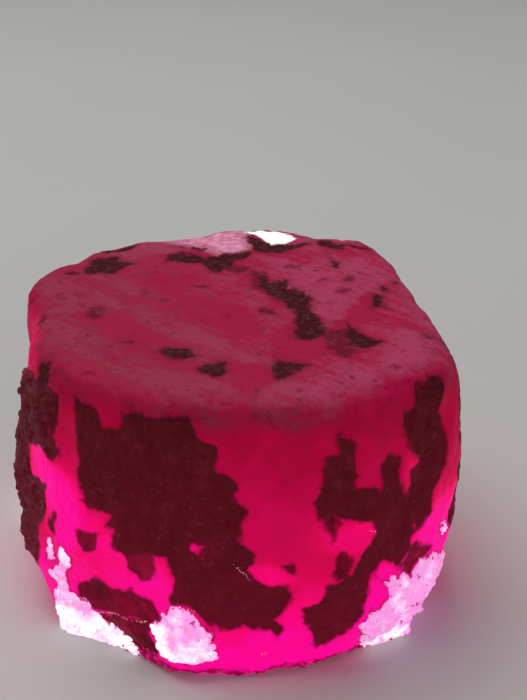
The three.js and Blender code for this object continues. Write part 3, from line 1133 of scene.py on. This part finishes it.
def crack_lines(base):
    """The hair cracks, as lines lying on the crystal."""
    bpy.context.view_layer.update()
    corners = []
    edges = []
    for line in SIDE_CRACKS.values():
        stretches = len(line) - 1
        steps = np.linspace(0, stretches, STEPS_A_STRETCH * stretches + 1)
        azimuths, heights = (np.interp(steps, range(len(line)), values) for values in zip(*line))
        edges += [(len(corners) + i, len(corners) + i + 1) for i in range(len(steps) - 1)]
        for azimuth, height in zip(azimuths, heights):
            out = outward(azimuth, 0)
            start = (out * OUTSIDE + (0, 0, height)) * MM
            corners.append(base.ray_cast(start.tolist(), (-out).tolist())[1])
    mesh = bpy.data.meshes.new("crack_lines")
    mesh.from_pydata(corners, edges, [])
    return mesh


def flake_shape(n):
    """A six-sided plate, one across."""
    sockets = {"Vertices": 6, "Radius": 0.5, "Depth": 1.0}
    return n.add("GeometryNodeMeshCylinder", {"fill_type": "NGON"}, sockets)


def grain_shape(n):
    """A rounded grain, one across."""
    return n.add("GeometryNodeMeshIcoSphere", {}, {"Radius": 0.5, "Subdivisions": 2})


def flake_look(n, place):
    """Loose mica plates: dark red-brown, a few of them pale, with a little sheen."""
    tone = n.noise(place, 0.45, detail=2)
    colour = n.mix(n.attribute("bloom"), n.ramp(tone, FLAKE_BROWNS), (0.075, 0.016, 0.02))
    return n.surface(
        {
            "Base Color": colour,
            "Roughness": 0.35 + tone * 0.2,
            "IOR": MICA_IOR,
            "Specular IOR Level": 0.04,
            # painted glow, as on the mica of the skin
            "Emission Color": painted_mica_glow(n),
        }
    )


def crust_grain_look(n, place):
    """Loose sugary grains of the pale crust, with its painted glow."""
    colour, light = crust_tones(n, place)
    return n.surface(
        {
            "Base Color": colour,
            "Roughness": 0.6 + n.noise(place, 0.3, detail=2) * 0.2,
            "IOR": FELDSPAR_IOR,
            "Specular IOR Level": 0.2,
            "Emission Color": light,
            "Normal": n.bump(n.noise(place, 0.1, detail=2), 0.4, 0.05),
        }
    )


def crack_grain_look(n, place):
    """Tiny pale grains caught in hair cracks, with a painted rosy glow."""
    tone = n.noise(place, 0.25, detail=2).rise(0.35, 0.65)
    return n.surface(
        {
            "Base Color": n.mix(tone, (0.55, 0.12, 0.18), (0.8, 0.5, 0.52)),
            "Roughness": 0.6,
            "IOR": FELDSPAR_IOR,
            "Specular IOR Level": 0.2,
            "Emission Color": n.mix(tone, (0.25, 0.012, 0.05), (0.38, 0.15, 0.18)),
        }
    )


def ruby_grain_look(n, place):
    """Ruby rubble along the broken foot, with a painted glow."""
    tone = n.noise(place, 0.6, detail=3)
    return n.surface(
        {
            "Base Color": n.mix(tone, (0.14, 0.002, 0.02), (0.3, 0.006, 0.06)),
            "Roughness": 0.3 + tone * 0.25,
            "IOR": CORUNDUM_IOR,
            "Specular IOR Level": 0.2,
            # painted glow, standing in for light from below
            "Emission Color": n.mix(tone.rise(0.3, 0.7), (0.16, 0.0005, 0.03), (0.75, 0.002, 0.2)),
            "Normal": n.bump(n.noise(place, 0.15, detail=2), 0.3, 0.05),
        }
    )


# ---- the crystal -----------------------------------------------------------------------------

crystal = crystal_skin()
crystal.data.materials.append(finish("ruby_with_mica_and_crust", crystal_look))
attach(crystal, "root")
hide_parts("ruby_crystal")

flakes = scatter_tree("mica_scatter", flake_shape)
grains = scatter_tree("grain_scatter", grain_shape)
mica_flakes = grow(
    "mica_flakes",
    crystal.data,
    flakes,
    {
        "Field": "mica", "From": 0.2, "Density": 5.0 / MM**2, "Smallest": 0.15 * MM,
        "Largest": 0.5 * MM, "Flatness": 0.07, "Tilt": 0.08, "Seed": 7,
        "Finish": finish("mica_flake", flake_look),
    },
    smooth=False,
)
crust_grains = grow(
    "crust_grains",
    crystal.data,
    grains,
    {
        "Field": "crust", "From": 0.02, "Density": 6.0 / MM**2, "Smallest": 0.1 * MM,
        "Largest": 0.5 * MM, "Flatness": 0.6, "Tilt": 0.4, "Seed": 17,
        "Finish": finish("pale_crust_grain", crust_grain_look),
    },
)
crack_grains = grow(
    "crack_grains",
    crack_lines(crystal),
    bead_tree("crack_beads", grain_shape),
    {
        "Spacing": 0.11 * MM, "Smallest": 0.04 * MM, "Largest": 0.12 * MM, "Straying": 0.05 * MM,
        "Seed": 37, "Finish": finish("crack_grain", crack_grain_look),
    },
)
foot_grains = grow(
    "foot_grains",
    crystal.data,
    grains,
    {
        "Field": "foot", "From": 0.3, "Density": 5.0 / MM**2, "Smallest": 0.1 * MM,
        "Largest": 0.4 * MM, "Flatness": 0.7, "Tilt": 0.4, "Seed": 27,
        "Finish": finish("ruby_grain", ruby_grain_look),
    },
)
for small, slot in (
    (mica_flakes, "mica"),
    (crust_grains, "pale_crust"),
    (crack_grains, "pale_crust"),
    (foot_grains, "ruby"),
):
    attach(small, "root")

# ---- floor, light and camera -----------------------------------------------------------------


FLOOR_REACH = 2.0
WORLD_COLOUR = (0.92, 0.95, 1.0, 1)
WORLD_STRENGTH = 0.22
LIT_PLACE = (0, 0, 0.009)  # the middle of the crystal
SENSOR_WIDTH = 36  # like the lens length, in mm
LENS_LENGTH = 61.7
VIEW_PLACE = (0.00222, -0.07318, 0.04815)
VIEW_DOWN = 24.63  # how far below level it looks, in degrees


def floor_look(n, place):
    tone = n.mix(n.noise(place, 60.0), (0.50, 0.49, 0.47), (0.54, 0.53, 0.51))
    return n.surface({"Base Color": tone, "Roughness": 0.8})


def floor():
    """A plain pale floor, level with the foot."""
    corners = [(x * FLOOR_REACH, y * FLOOR_REACH, 0) for x, y in ((-1, -1), (1, -1), (1, 1), (-1, 1))]
    mesh = bpy.data.meshes.new("floor")
    mesh.from_pydata(corners, [], [(0, 1, 2, 3)])
    made = put("floor", mesh)
    mesh.materials.append(finish("pale_floor", floor_look))


def soft_light(name, place, size, watts):
    """A round soft light that faces the crystal."""
    light = bpy.data.lights.new(name, "AREA")
    light.shape = "DISK"
    light.size = size
    light.energy = watts
    made = put(name, light)
    made.location = place
    toward = np.array(LIT_PLACE) - np.array(place)
    tip = math.atan2(math.hypot(toward[0], toward[1]), -toward[2])
    swing = math.atan2(toward[1], toward[0]) - math.pi / 2
    made.rotation_euler = (tip, 0, swing)


def studio():
    """Soft light from overhead and a little from the front, in an evenly pale room."""
    world = bpy.data.worlds.new("studio")
    world.use_nodes = True
    background = world.node_tree.nodes["Background"]
    background.inputs["Color"].default_value = WORLD_COLOUR
    background.inputs["Strength"].default_value = WORLD_STRENGTH
    bpy.context.scene.world = world
    soft_light("overhead", (-0.12, 0.1, 0.45), size=0.4, watts=1.5)
    soft_light("front_fill", (0.25, -0.45, 0.25), size=0.4, watts=0.4)
    bpy.context.scene.view_settings.view_transform = "Standard"


def camera():
    """The viewing angle: level with the middle of the front, looking down at the top."""
    lens = bpy.data.cameras.new("view")
    lens.sensor_width = SENSOR_WIDTH
    lens.lens = LENS_LENGTH
    lens.clip_start = 0.01
    made = put("view", lens)
    made.location = VIEW_PLACE
    made.rotation_euler = (math.radians(90 - VIEW_DOWN), 0, 0)
    bpy.context.scene.camera = made


floor()
studio()
camera()
